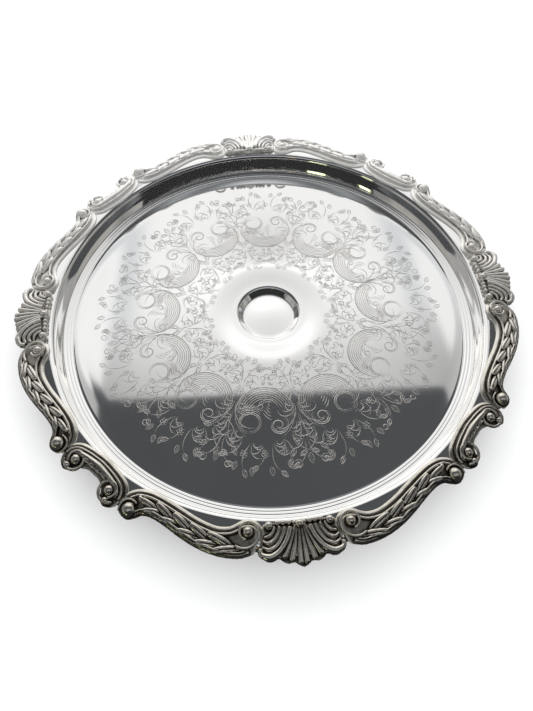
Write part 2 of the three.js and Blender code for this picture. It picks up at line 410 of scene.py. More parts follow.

# %% [markdown]
# ## Metals
#
# Three finishes: mirror-polished sheet with faint wiping scratches, cast silver that is bright on
# its crests and brown-black with tarnish in its hollows, and the matt cut of an engraver's line.
# The cast mounts carry a `hollow` attribute, worked out from their own mesh, that says how deep in
# the ornament a point lies. The cast silver's colour also holds painted shade: it is darkened at the
# front of the tray and paled towards its back, where the silver is also made partly see-through so
# that it pales further, standing in for the dark room that the front mounts mirror. The dark
# tarnish colour is spread further at the front as part of that painted shade. Towards the back the
# cast silver also turns more satin.

# %% Mirror sheet
def mirror_sheet():
    recipe = Recipe("silver_sheet")
    at = recipe.place()
    wiping = recipe.noise(recipe.place((1.0, 14.0, 1.0)), 160.0, 4.0, 0.65)
    cloudy = recipe.noise(at, 22.0, 3.0)
    waves = recipe.noise(at, 9.0, 1.0)
    tone = recipe.blend(cloudy, rgb(0.93, 0.925, 0.91), rgb(0.965, 0.96, 0.95))
    roughness = 0.035 + 0.05 * cloudy + 0.04 * wiping.step(0.55, 0.8)
    ripple = recipe.bump(waves, 0.25, 0.0012)
    return recipe.metal(tone, roughness, ripple)


# %% Cast silver with tarnish and painted front shade
def cast_silver():
    recipe = Recipe("cast_silver")
    at = recipe.place()
    hollow = recipe.node("ShaderNodeAttribute", {"attribute_name": "hollow"}, output="Fac")
    mottle = recipe.noise(at, 260.0, 4.0, 0.6)
    grain = recipe.noise(at, 1500.0, 3.0)
    # back runs from 0 at the front of the tray to 1 at its back; it drives painted shade on the cast
    # silver.
    back = recipe.node("ShaderNodeSeparateXYZ", {}, [at], 1).step(-0.12, 0.13)
    # Tarnish in the hollows, plus painted shade: the dark colour covers more at the front of the tray
    # and less at its back.
    tarnish_and_front_shade = (hollow + 0.3 * (mottle - 0.5) + 0.28 - 0.38 * back).step(0.42, 0.85)
    # Crest and mid tones of the silver, darkened at the front and paled at the back as painted shade.
    rubbed_with_front_shade = recipe.blend(back, rgb(0.78, 0.74, 0.66), rgb(0.97, 0.96, 0.94))
    dull_with_front_shade = recipe.blend(back, rgb(0.47, 0.42, 0.36), rgb(0.90, 0.88, 0.85))
    warmth = recipe.blend((hollow + 0.15 * mottle).step(0.3, 0.5), rubbed_with_front_shade, dull_with_front_shade)
    tone = recipe.blend(tarnish_and_front_shade, warmth, rgb(0.045, 0.034, 0.024))
    roughness = 0.12 + 0.10 * mottle + 0.30 * tarnish_and_front_shade + 0.28 * back
    # Painted light: towards the back the silver is made partly see-through, so that it reads paler.
    see_through_paling_at_back = 1 - 0.17 * back * (1 - tarnish_and_front_shade)
    return recipe.metal(tone, roughness, recipe.bump(grain, 0.12, 0.0004), see_through_paling_at_back)


# %% Cut silver
def cut_silver():
    recipe = Recipe("cut_silver")
    grain = recipe.noise(recipe.place(), 1800.0, 3.0)
    tone = recipe.blend(grain, rgb(0.92, 0.90, 0.87), rgb(0.84, 0.82, 0.79))
    return recipe.metal(tone, 0.16 + 0.1 * grain)


SHEET_METAL = mirror_sheet()
CAST_METAL = cast_silver()
CUT_METAL = cut_silver()
print("metals", SHEET_METAL.name, CAST_METAL.name, CUT_METAL.name)

# %% [markdown]
# ## Border geometry
#
# The mounts are drawn on the ring itself. A knot is degrees clockwise from the mount's middle line
# and a share of the border's width, so the outline follows the same values as the CAD solid.

# %% Knots and curves
SHELL_EDGE = [
    (0, 1), (0.85, 0.955), (1.65, 0.895), (2.7, 0.917), (3.7, 0.868), (4.45, 0.812),
    (5.3, 0.864), (6.2, 0.88), (7.4, 0.81), (8.3, 0.7),
]
SHELL_SIDE = [(7.8, 0.46), (7.75, 0.26), (7.3, 0.11), (5, 0.075), (2.4, 0.07)]
LEAF_EDGE = [
    (8.8, 0.69), (10, 0.78), (12, 0.845), (15.5, 0.85), (19.3, 0.785), (23, 0.675),
    (26.8, 0.555), (29.8, 0.515), (31.5, 0.56), (32.4, 0.67), (33.7, 0.78), (35.2, 0.765),
    (36.25, 0.685),
]
LEAF_INNER = [
    (36.25, 0.48), (35.6, 0.32), (34.3, 0.185), (32.1, 0.11), (29.2, 0.105), (25, 0.175),
    (21, 0.28), (17.1, 0.355), (14.3, 0.33), (12.6, 0.245), (11.4, 0.155), (10.1, 0.125),
    (8.9, 0.18), (8.25, 0.31), (8.3, 0.48),
]
C_EDGE = [
    (-7.9, 0.67), (-6.8, 0.785), (-5.45, 0.815), (-4.2, 0.7), (-3.1, 0.54), (-1.6, 0.444),
    (0, 0.434),
]
C_INNER = [(0, 0.06), (-2.2, 0.08), (-4.3, 0.12), (-6.6, 0.21), (-7.9, 0.37), (-8.1, 0.53)]


def on_ring(degrees, share):
    """A knot as a flat point, with +Y outwards."""
    radius = BORDER_INNER + share * BORDER_WIDTH
    angle = math.radians(degrees)
    return np.array((radius * math.sin(angle), radius * math.cos(angle)))


def mirrored(knots):
    return [(-degrees, share) for degrees, share in reversed(knots)]


def smooth_path(points, steps, closed=False):
    """Catmull-Rom curve through points of any dimension."""
    points = np.array(points, float)
    if closed:
        padded = np.vstack([points[-1:], points, points[:2]])
    else:
        first = 2 * points[0] - points[1]
        last = 2 * points[-1] - points[-2]
        padded = np.vstack([first, points, last])
    t = np.linspace(0, 1, steps, endpoint=False)[:, None]
    made = []
    for a, b, c, d in zip(padded, padded[1:], padded[2:], padded[3:]):
        bend = 2 * b + (c - a) * t + (2 * a - 5 * b + 4 * c - d) * t**2
        made.append((bend + (3 * b - a - 3 * c + d) * t**3) / 2)
    made = np.vstack(made)
    return made if closed else np.vstack([made, points[-1:]])


def ring_path(knots, steps=8, closed=False):
    return smooth_path([on_ring(*knot) for knot in knots], steps, closed)


def shifted(path, distance):
    """The path moved sideways, to its left for a positive distance."""
    along = np.gradient(path, axis=0)
    along /= np.linalg.norm(along, axis=1)[:, None]
    return path + distance * np.column_stack([-along[:, 1], along[:, 0]])


print("shell outline has", len(ring_path(SHELL_EDGE)), "points a side")

# %% [markdown]
# ## The spun tray
#
# A spinner forces one disc of sheet over a chuck, so the profile is everything: recess, round
# shoulder, shallow dish, plate, three reeds, wall and flange. The profile is spun about the axis, its
# outer edge is drawn out to the lobed outline, and Solidify gives the sheet its thickness.

# %% Tray profile
SPIN_STEPS = 360
RECESS_FLOOR = PLATE_TOP - 5.6 * MM
DISH_DIP = 1.3 * MM
EDGE_RISE = 0.2  # how far the plate has curved up where the reeds begin, in mm


def arc(centre, radius, start, end, steps):
    """Points of a round stretch, angles in degrees from +r towards +z."""
    turns = np.radians(np.linspace(start, end, steps))
    return [(centre[0] + radius * math.cos(a), centre[1] + radius * math.sin(a)) for a in turns]


def tray_profile():
    dish = PLATE_TOP - DISH_DIP
    points = [(0.0, RECESS_FLOOR + 0.25 * MM), (6 * MM, RECESS_FLOOR + 0.2 * MM)]
    points += [(11 * MM, RECESS_FLOOR + 0.08 * MM), (15 * MM, RECESS_FLOOR)]
    points += arc((16.7 * MM, RECESS_FLOOR + 1.0 * MM), 1.0 * MM, -90, -38, 6)
    points += arc((22.2 * MM, dish - 2.9 * MM), 2.9 * MM, 146, 92, 12)
    slope = [(23.6, 0.02), (26.5, 0.25), (30, 0.6), (33, 0.88), (36, 1.12), (38.5, 1.27)]
    points += [(radius * MM, dish + rise * MM) for radius, rise in slope]
    points += [(radius * MM, PLATE_TOP) for radius in (40.5, 42, 60, 90, 118, 121)]
    edge = [(123, 0.015), (125, 0.06), (127, 0.14), (128.2, EDGE_RISE)]
    points += [(radius * MM, PLATE_TOP + rise * MM) for radius, rise in edge]
    reed_width = (WALL_FOOT - PLATE_RADIUS) / 3
    bow = 5.0 * MM
    for reed in range(3):
        start = PLATE_RADIUS + reed * reed_width
        crest = PLATE_TOP + (EDGE_RISE + 0.5 * reed + 0.4) * MM
        middle = (start + bow * 0.47, crest - bow * 0.988)
        points += arc(middle, bow, 118, 99, 6)
    roll = 3.2 * MM
    roll_end = BORDER_INNER + 0.35 * roll
    points += [(WALL_FOOT + 0.15 * MM, PLATE_TOP + 2.2 * MM)]
    points += [(roll_end - roll - 0.25 * MM, FLANGE_TOP - roll - 2.6 * MM)]
    points += arc((roll_end, FLANGE_TOP - roll), roll, 176, 90, 14)
    points += [(roll_end + 1.5 * MM, FLANGE_TOP)]
    return points


profile = tray_profile()
print("tray profile has", len(profile), "points")

# %% Spin the tray and draw out its flange
def border_reach():
    """Radius of the lobed edge at any number of degrees, from the three mounts' outer knots."""
    eighth = SHELL_EDGE + LEAF_EDGE + [(degrees + 45, share) for degrees, share in C_EDGE]
    path = ring_path(eighth, 6)
    angles = np.degrees(np.arctan2(path[:, 0], path[:, 1]))
    radii = np.hypot(path[:, 0], path[:, 1])
    order = np.argsort(angles)
    return angles[order], radii[order]


REACH_ANGLES, REACH_RADII = border_reach()


def reach_at(degrees):
    folded = abs((degrees + 45) % 90 - 45)
    return float(np.interp(folded, REACH_ANGLES, REACH_RADII))


def spun_tray():
    mesh = bmesh.new()
    verts = [mesh.verts.new((radius, 0, height)) for radius, height in profile]
    edges = [mesh.edges.new(pair) for pair in zip(verts, verts[1:])]
    bmesh.ops.spin(
        mesh, geom=verts + edges, cent=(0, 0, 0), axis=(0, 0, 1), angle=2 * math.pi,
        steps=SPIN_STEPS, use_merge=True,
    )
    bmesh.ops.remove_doubles(mesh, verts=mesh.verts, dist=1e-6)
    for share in (0.5, 1.0):
        rim = [edge for edge in mesh.edges if edge.is_boundary]
        drawn = bmesh.ops.extrude_edge_only(mesh, edges=rim)["geom"]
        for vert in [item for item in drawn if isinstance(item, bmesh.types.BMVert)]:
            radius = math.hypot(vert.co.x, vert.co.y)
            edge = reach_at(math.degrees(math.atan2(vert.co.x, vert.co.y))) - FLANGE_INSET
            scale = (radius + share * (edge - radius)) / radius
            vert.co.x *= scale
            vert.co.y *= scale
    bmesh.ops.recalc_face_normals(mesh, faces=mesh.faces)
    if sum(face.normal.z for face in mesh.faces) < 0:
        bmesh.ops.reverse_faces(mesh, faces=mesh.faces)
    return mesh


tray = finish_mesh(spun_tray(), "spun_tray", SHEET_METAL)
wall = tray.modifiers.new("sheet", "SOLIDIFY")
wall.thickness = SHEET
wall.offset = -1.0
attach(tray, "root")
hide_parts("tray_body")
print("tray faces", len(tray.data.polygons))

# %% [markdown]
# ## Engraving
#
# Twelve round scrolls stand in a ring on the plate, most of them mirror images of their
# neighbours. An engraver pushes a graver through the metal, so every line swells and runs out.
# Each line is a slim four-sided ridge along a curve, less than a quarter as high as it is wide: its
# two flanks turn the light either way, as the walls of a cut do, and its ends taper.

# %% Graver
CUT_RELIEF = 0.45  # height of a line as a share of its half width
FROND_STEPS = 15
BLADE_FAN = 25  # degrees from one blade of a frond to the next


def sweep(centre, radius, start, end, steps, close=0.0):
    """A round stroke, in degrees; close is how far it has wound in at its end."""
    turns = np.radians(np.linspace(start, end, steps))
    reach = radius * (1 - close * np.linspace(0, 1, steps))
    return np.column_stack([centre[0] + reach * np.cos(turns), centre[1] + reach * np.sin(turns)])


class Graver:
    """Collects strokes, drawn in millimetres: u runs round the tray and v outwards."""

    def __init__(self):
        self.strokes = []
        self.stand_at(0.0, 0.0)

    def stand_at(self, degrees, radius, flip=1):
        self.angle = math.radians(degrees)
        self.radius = radius
        self.flip = flip

    def cut(self, path, width, lead=0.3):
        """One stroke that swells to its width and runs out at both ends."""
        path = np.array(path, float)
        u = self.flip * path[:, 0]
        v = path[:, 1] + self.radius
        x = v * math.sin(self.angle) + u * math.cos(self.angle)
        y = v * math.cos(self.angle) - u * math.sin(self.angle)
        share = np.linspace(0, 1, len(path))
        swell = np.clip(np.minimum(share, 1 - share) / lead, 0.15, 1)
        self.strokes.append((x * MM, y * MM, swell * width / 2 * MM))

    def almond(self, u, v, heading, length=6.0, width=2.6):
        """A pointed leaf with a midrib."""
        t = np.linspace(0, 1, 8)
        c = math.cos(math.radians(heading))
        s = math.sin(math.radians(heading))
        for side, weight in ((1, 0.5), (-1, 0.5), (0, 0.3)):
            across = side * width / 2 * np.sin(math.pi * t**0.85)
            line = np.column_stack([u + t * length * c - across * s, v + t * length * s + across * c])
            self.cut(line, weight)

    def flower(self, u, v, size=1.0):
        for petal in range(5):
            turn = math.radians(72 * petal + 18)
            middle = (u + 1.5 * size * math.cos(turn), v + 1.5 * size * math.sin(turn))
            self.cut(sweep(middle, 0.95 * size, 0, 330, 8), 0.34)

    def frond(self, u, v, heading, length, curl, leaf=0.0, blades=3):
        """Cuts that fan out from one foot and hook over the same way, the first the longest."""
        grown = np.linspace(0, 1, FROND_STEPS)
        fan = math.copysign(BLADE_FAN, curl)
        for blade in range(blades):
            turns = np.radians(heading + fan * blade + curl * (0.5 + 0.5 * blade) * grown**1.7)
            pace = length * (1 - 0.2 * blade) / FROND_STEPS
            line = np.column_stack([u + np.cumsum(np.cos(turns)), v + np.cumsum(np.sin(turns))])
            line = (u, v) + (line - (u, v)) * pace
            self.cut(line, 0.46)
            if blade == 0 and leaf:
                self.almond(*line[-1], math.degrees(turns[-1]), leaf, 0.42 * leaf)

    def tendril(self, u, v, radius, start, turns=1.5):
        self.cut(sweep((u, v), radius, start, start + 360 * turns, int(16 * turns), 0.8), 0.5)


# %% One round scroll
SPRAY_FOOT = 18.4  # mm from a scroll's middle to the feet of its spray


def roundel(graver):
    """Concentric cuts round an open ring and a tight spiral, with a curled leaf between them."""
    for ring in range(6):
        reach = 16.4 - 1.35 * ring
        graver.cut(sweep((0, 0), reach, 146 + 8 * ring, 398 - 12 * ring, 26), 0.52)
    graver.cut(sweep((0, 0), 17.6, 124, 412, 34), 0.8)
    for reach in (6.7, 5.7):
        graver.cut(sweep((-8.4, 5.8), reach, 96, 452, 30, 0.05), 0.6)
    for ring in range(4):
        start = 212 + 6 * ring
        graver.cut(sweep((-8.4, 5.8), 7.8 + ring, start, 322 - 8 * ring, 12), 0.5)
    graver.cut(sweep((8.6, 6.6), 5.2, 300, 880, 44, 0.78), 0.65)
    graver.cut(sweep((8.6, 6.6), 6.3, 290, 560, 24, 0.3), 0.5)
    for lobe in range(6):
        start = (4.6 - 0.35 * lobe, 3.6 - 2.1 * lobe)
        middle = (1.6 + 0.2 * lobe, 2.2 - 2.0 * lobe)
        end = (-1.4 + 0.8 * lobe, -1.2 - 1.5 * lobe)
        graver.cut(smooth_path([start, middle, end], 6), 0.42)
    graver.cut(sweep((-2.4, -4.4), 2.3, 30, 500, 24, 0.7), 0.55)
    graver.cut(sweep((2.2, -2.2), 7.2, 196, 318, 14), 0.5)
    graver.cut(sweep((2.2, -2.2), 5.9, 204, 300, 12), 0.4)


def spray(graver):
    """Curling fronds on the outer side of a scroll, tipped with leaves, flowers and tendrils."""
    feet = [(176, 128, 15, 130), (150, 156, 17, -120), (130, 104, 15, 140), (110, 128, 18, -120),
            (92, 72, 14, 130), (72, 96, 18, -120), (52, 38, 14, 140), (32, 66, 17, -120),
            (10, 12, 14, 120)]
    for foot, heading, length, curl in feet:
        u = SPRAY_FOOT * math.cos(math.radians(foot))
        v = SPRAY_FOOT * math.sin(math.radians(foot))
        graver.frond(u, v, heading, length, curl, 5.4)
    for u, v, heading in ((-15, 29, 112), (-5.5, 32, 96), (5, 31.5, 76), (14.5, 27.5, 60)):
        graver.almond(u, v, heading, 5.6, 2.5)
    for u, v in ((-10.8, 24.6), (1.2, 24.4), (12.8, 22.2)):
        graver.flower(u, v, 0.95)
    graver.tendril(20.5, 29.5, 2.8, 200)
    graver.tendril(-20.0, 30.5, 2.4, -30, 1.3)


def plume(graver):
    """Fronds that rise between two scrolls and part, with leaves at their root."""
    for side in (-1, 1):
        graver.frond(0.8 * side, -9, 90 + 4 * side, 26, -100 * side, 6.0, 4)
        graver.frond(0.5 * side, -13, 90 - 4 * side, 14, -110 * side, 0, 3)
        graver.frond(1.0 * side, 9, 90 + 2 * side, 17, -130 * side, 5.2, 3)
        graver.cut(smooth_path([(0, -20), (2.6 * side, -15), (0.8 * side, -9)], 6), 0.6)
        graver.almond(1.5 * side, -20.5, 90 - 28 * side, 5.2, 2.2)
    graver.almond(0, 19, 90, 7.0, 2.8)


def filling(graver, rng):
    """Small scrolls, flowers and commas between the ring of scrolls and the clean middle."""
    for side in (-1, 1):
        graver.frond(1.0 * side, 9, -90 - 4 * side, 14, 130 * side, 3.6)
        graver.frond(1.2 * side, 3, -90 + 8 * side, 13, 150 * side, 3.6)
        graver.frond(2.0 * side, 8, 90 - 80 * side, 11, -150 * side, 3.4)
        graver.tendril(10.5 * side, 0.0, 2.4, 90 + 80 * side, 1.3)
        graver.flower(6.0 * side, -7.0, 0.9)
        graver.flower(2.4 * side, -10.0, 0.8)
    graver.flower(0, 11.0, 0.9)
    for _ in range(18):
        u = rng.uniform(-12, 12)
        v = rng.uniform(-10, 9)
        start = rng.uniform(0, 360)
        graver.cut(sweep((u, v), rng.uniform(1.2, 2.8), start, start + 130, 6), 0.46)


# %% Cut the ring of scrolls
SCROLLS = [  # degrees clockwise from the back, radius in mm, hand
    (4, 74, 1), (35, 73, -1), (63, 76, 1), (89, 77, -1), (121, 75, -1), (157, 74, 1),
    (188, 74, -1), (218, 75, -1), (248, 76, 1), (276, 77, -1), (305, 76, 1), (334, 76, -1),
]


def engraving():
    graver = Graver()
    rng = random.Random(12)
    for index, (degrees, radius, hand) in enumerate(SCROLLS):
        after = SCROLLS[(index + 1) % len(SCROLLS)][0]
        gap = degrees + ((after - degrees) % 360) / 2
        graver.stand_at(degrees, radius, hand)
        roundel(graver)
        spray(graver)
        graver.stand_at(gap, 81.0)
        plume(graver)
        graver.stand_at(gap, 49.0)
        filling(graver, rng)
        graver.stand_at(degrees, 46.0)
        graver.tendril(0, 3.0, 2.6, 20, 1.4)
        graver.flower(3.8, -1.5, 0.8)
        graver.flower(-4.2, 0.5, 0.8)
    curve = bpy.data.curves.new("engraving", "CURVE")
    curve.dimensions = "3D"
    curve.bevel_depth = 1.0
    curve.bevel_resolution = 0
    for x, y, half_width in graver.strokes:
        spline = curve.splines.new("POLY")
        spline.points.add(len(x) - 1)
        for slot, a, b, radius in zip(spline.points, x, y, half_width):
            slot.co = (a, b, 0, 1)
            slot.radius = radius
    holder = bpy.data.objects.new("engraving_lines", curve)
    mesh = bmesh.new()
    mesh.from_mesh(holder.to_mesh())
    bpy.data.objects.remove(holder)
    bpy.data.curves.remove(curve)
    for vert in mesh.verts:
        vert.co.z = PLATE_TOP + vert.co.z * CUT_RELIEF
    print(len(graver.strokes), "strokes")
    return finish_mesh(mesh, "engraving", CUT_METAL, smooth=False)


engraved = engraving()
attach(engraved, "root")
print("engraving faces", len(engraved.data.polygons))

# %% [markdown]
# ## Casting the mounts
#
# A cast mount is one skin with soft inner corners. Each one is composed from simple forms, as a
# modeller in wax would: a bed cut to the outline, rolls laid along it, leaves, and balls. A voxel
# remesh then melts the forms into a single skin, and a little smoothing gives the blunt edges of
# sand casting. Every form is made once, for a mount at the back of the tray, and copied round.

# %% Forms of wax
VOXEL = 0.25 * MM
LEAN = 0.15  # how steeply the tops of the mounts fall away outwards
LEAN_RISE = 1.6 * MM  # height over which the lean sets in


class Wax:
    """Collects closed forms that are melted into one casting."""

    def __init__(self):
        self.mesh = bmesh.new()

    def bed(self, path, height, bevel=0.8 * MM, base=MOUNT_BASE):
        """A flat slab cut to an outline, with its upper edge rounded."""
        part = bmesh.new()
        face = part.faces.new([part.verts.new((x, y, base)) for x, y in path])
        if face.normal.z < 0:
            face.normal_flip()
        raised = bmesh.ops.extrude_face_region(part, geom=[face])["geom"]
        verts = [item for item in raised if isinstance(item, bmesh.types.BMVert)]
        bmesh.ops.translate(part, verts=verts, vec=(0, 0, height))
        bmesh.ops.recalc_face_normals(part, faces=part.faces)
        top = [edge for edge in part.edges if all(v.co.z > base + height / 2 for v in edge.verts)]
        bmesh.ops.bevel(
            part, geom=top, offset=bevel, segments=3, profile=0.5, affect="EDGES", material=-1,
            offset_type="OFFSET", clamp_overlap=True,
        )
        self._take(part)

    def ball(self, x, y, z, radius):
        part = bmesh.new()
        bmesh.ops.create_uvsphere(part, u_segments=24, v_segments=14, radius=radius)
        bmesh.ops.translate(part, verts=part.verts, vec=(x, y, z))
        self._take(part)

    def leaf(self, at, heading, length, width, height, tilt):
        """An almond with a midrib, its tip in the direction of heading (radians from +X)."""
        part = bmesh.new()
        bmesh.ops.create_uvsphere(part, u_segments=20, v_segments=12, radius=1.0)
        for vert in part.verts:
            x, y, z = vert.co
            taper = max(0.0, 1 - abs(x) ** 2.2) ** 0.45
            rib = 1 - 0.45 * math.exp(-((y / 0.16) ** 2))
            full = math.sqrt(max(1e-6, 1 - min(x * x, 0.999)))
            vert.co = (x * length / 2, y / full * taper * width / 2, z * height * rib)
        turn = Matrix.Rotation(heading, 4, "Z") @ Matrix.Rotation(-tilt, 4, "Y")
        bmesh.ops.transform(part, matrix=Matrix.Translation(at) @ turn, verts=part.verts)
        self._take(part)

    def roll(self, path, heights, radii):
        """A round bar along a path, thick and high as the lists say."""
        steps = np.linspace(0, 1, len(path))
        heights = np.interp(steps, np.linspace(0, 1, len(heights)), heights)
        radii = np.interp(steps, np.linspace(0, 1, len(radii)), radii)
        self._take(bar([(*p, z) for p, z in zip(path, heights)], radii))

    def fillet(self, path, height, radius, flatness):
        """A low, wide ridge along a path on the flange."""
        part = bar([(*p, height) for p in path], [radius] * len(path))
        for vert in part.verts:
            vert.co.z = height + (vert.co.z - height) * flatness
        self._take(part)

    def lean(self, slope, pivot):
        """Tips the upper forms outwards about a radius, and leaves their foot alone."""
        for vert in self.mesh.verts:
            lift = min(max(vert.co.z - MOUNT_BASE, 0) / LEAN_RISE, 1)
            vert.co.z -= slope * lift * (math.hypot(vert.co.x, vert.co.y) - pivot)

    def rod(self, points, radii):
        """A round bar through points in space."""
        self._take(bar(points, radii))

    def turn(self, matrix):
        """Turns everything collected so far."""
        bmesh.ops.transform(self.mesh, matrix=matrix, verts=self.mesh.verts)

    def _take(self, part):
        spare = bpy.data.meshes.new("spare")
        part.to_mesh(spare)
        part.free()
        self.mesh.from_mesh(spare)
        bpy.data.meshes.remove(spare)

    def cast(self, name):
        """Melts the forms together and returns the finished mesh data."""
        solid = finish_mesh(self.mesh, name, CAST_METAL)
        melt = solid.modifiers.new("melt", "REMESH")
        melt.mode = "VOXEL"
        melt.voxel_size = VOXEL
        soften = solid.modifiers.new("soften", "SMOOTH")
        soften.factor = 0.5
        soften.iterations = 2
        graph = bpy.context.evaluated_depsgraph_get()
        data = bpy.data.meshes.new_from_object(solid.evaluated_get(graph))
        bpy.data.objects.remove(solid)
        data.name = name
        data.shade_smooth()
        mark_hollows(data)
        print(name, "has", len(data.polygons), "faces")
        return data


def bar(points, radii):
    """A closed round bar as a bmesh, made from a curve."""
    curve = bpy.data.curves.new("bar", "CURVE")
    curve.dimensions = "3D"
    curve.bevel_depth = 1.0
    curve.bevel_resolution = 3
    curve.use_fill_caps = True
    spline = curve.splines.new("POLY")
    spline.points.add(len(points) - 1)
    for slot, place, radius in zip(spline.points, points, radii):
        slot.co = (*place, 1)
        slot.radius = radius
    holder = bpy.data.objects.new("bar", curve)
    made = bmesh.new()
    made.from_mesh(holder.to_mesh())
    bmesh.ops.remove_doubles(made, verts=made.verts, dist=1e-7)
    bpy.data.objects.remove(holder)
    bpy.data.curves.remove(curve)
    return made


# %% Depth in the ornament, as an attribute
HOLLOW_REACH = 26  # smoothing passes that blur the surface
HOLLOW_DEPTH = 0.5 * MM
HOLLOW_LEVEL = 0.35  # the value on an even surface


def mark_hollows(data):
    """How far each point lies below the blurred surface, from 0 on a crest to 1 in a crevice."""
    count = len(data.vertices)
    places = np.empty(count * 3)
    normals = np.empty(count * 3)
    data.vertices.foreach_get("co", places)
    data.vertices.foreach_get("normal", normals)
    places = places.reshape(-1, 3)
    normals = normals.reshape(-1, 3)
    pairs = np.empty(len(data.edges) * 2, int)
    data.edges.foreach_get("vertices", pairs)
    pairs = pairs.reshape(-1, 2)
    ends = np.concatenate([pairs[:, 0], pairs[:, 1]])
    others = np.concatenate([pairs[:, 1], pairs[:, 0]])
    degree = np.maximum(np.bincount(ends, minlength=count), 1)[:, None]
    blurred = places.copy()
    for _ in range(HOLLOW_REACH):
        total = np.zeros_like(blurred)
        for axis in range(3):
            total[:, axis] = np.bincount(ends, weights=blurred[others, axis], minlength=count)
        blurred = 0.5 * blurred + 0.5 * total / degree
    sunk = ((blurred - places) * normals).sum(1)
    value = np.clip(HOLLOW_LEVEL + sunk / HOLLOW_DEPTH, 0, 1)
    data.attributes.new("hollow", "FLOAT", "POINT").data.foreach_set("value", value)


# %% [markdown]
# ### Placing a casting
#
# One casting serves every place it is used: the copy is turned in its mesh, so each object stays
# at the origin. A left-hand scroll is the right-hand one mirrored, with its faces turned back out.

# %% Place a casting
SIDES = ["back", "right", "front", "left"]


def place(data, node, turn, mirror=False):
    """A copy of the mesh turned clockwise by some degrees, in place of a CAD node."""
    copy = data.copy()
    if mirror:
        copy.transform(Matrix.Scale(-1, 4, (1, 0, 0)))
        copy.flip_normals()
    copy.transform(Matrix.Rotation(-math.radians(turn), 4, "Z"))
    copy.name = node
    made = bpy.data.objects.new("cast_" + node, copy)
    bpy.context.scene.collection.objects.link(made)
    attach(made, "root")
    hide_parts(node)


# %% [markdown]
# ### Leafy scroll
#
# The long scroll runs from a volute beside the shell to a ball near the diagonal. A rounded edge
# falls away outside, a thin bead runs along both edges, and laurel leaves overlap between them,
# all pointing away from the shell. A low plain fillet backs it on the side of the tray.

# %% Leafy scroll
def along_path(path, share):
    """Point and heading part way along a path."""
    where = share * (len(path) - 1)
    low = min(int(where), len(path) - 2)
    point = path[low] + (where - low) * (path[low + 1] - path[low])
    step = path[low + 1] - path[low]
    return point, math.atan2(step[1], step[0])


def spiral(middle, reaches, start, end, steps):
    """A curl round a point: its distances in mm, and its angles in degrees from +X."""
    turns = np.radians(np.linspace(start, end, steps))
    reach = np.interp(np.linspace(0, 1, steps), np.linspace(0, 1, len(reaches)), reaches) * MM
    return np.column_stack([middle[0] + reach * np.cos(turns), middle[1] + reach * np.sin(turns)])


def leaf_scroll():
    wax = Wax()
    base = MOUNT_BASE
    outer = ring_path(LEAF_EDGE, 8)
    inner = ring_path(LEAF_INNER[::-1], 8)
    wax.bed(ring_path(LEAF_EDGE + LEAF_INNER, 8, closed=True), 1.3 * MM, 0.8 * MM)
    wax.fillet(shifted(inner, -0.7 * MM)[8:-4], FLANGE_TOP + 0.1 * MM, 2.2 * MM, 0.42)

    # rounded shoulder and the bright bead on it
    shoulder = shifted(outer, -1.9 * MM)[5:-21]
    wax.roll(shoulder, [base + 1.4 * MM] * 2, [1.5 * MM, 1.75 * MM, 1.6 * MM, 1.2 * MM])
    bead = shifted(outer, -2.7 * MM)[8:-22]
    wax.roll(bead, [base + 2.9 * MM, base + 3.2 * MM, base + 3.1 * MM, base + 3.0 * MM],
             [0.45 * MM, 0.55 * MM, 0.52 * MM, 0.45 * MM])
    low = shifted(inner, 0.95 * MM)[36:-14]
    wax.roll(low, [base + 1.9 * MM] * 2, [0.7 * MM] * 2)

    # volute beside the shell
    eye = on_ring(10.35, 0.29)
    volute = spiral(eye, [8.8, 6.4, 5.0, 4.5, 4.1, 3.7], 40, 430, 60)
    wax.roll(volute, [base + 3.3 * MM, base + 3.0 * MM], [0.8 * MM, 0.7 * MM])
    wax.ball(eye[0], eye[1], base + 2.0 * MM, 2.75 * MM)

    # ball and collar at the far end
    far = on_ring(34.35, 0.59)
    wax.ball(far[0], far[1], base + 1.6 * MM, 4.0 * MM)
    wax.roll(spiral(far, [5.3, 5.5, 5.0], -5, -150, 24), [base + 2.0 * MM] * 2, [0.5 * MM] * 2)
    side = on_ring(33.4, 0.25)
    wax.ball(side[0], side[1], base + 2.3 * MM, 1.1 * MM)

    # two rows of laurel leaves between the beads
    spine = ring_path([
        (12.6, 0.60), (15, 0.60), (18.5, 0.555), (22, 0.47), (25.5, 0.385), (29, 0.32), (32, 0.345),
    ], 12)
    for row in (1, -1):
        for index in range(5):
            share = 0.11 + 0.19 * index + (0.09 if row < 0 else 0.0)
            centre, heading = along_path(spine, min(share, 0.97))
            aside = row * (2.05 - 0.75 * share) * MM
            x = centre[0] - aside * math.sin(heading)
            y = centre[1] + aside * math.cos(heading)
            size = (1.08 - 0.28 * share) * MM
            wax.leaf(Vector((x, y, base + 2.3 * MM)), heading + 0.2 * row,
                     13.5 * size, 4.2 * size, 1.35 * size, math.radians(6))
    wax.lean(LEAN, BORDER_INNER + 8.5 * MM)
    return wax.cast("leaf_scroll")


leaf_data = leaf_scroll()

# %% [markdown]
# ### Shell
#
# The shell opens outwards: a fan of paired flutes in the middle, and on either side a curl of
# acanthus whose ribs start at small beads and hook over at their tips. A round boss sits at the
# root of the flutes.

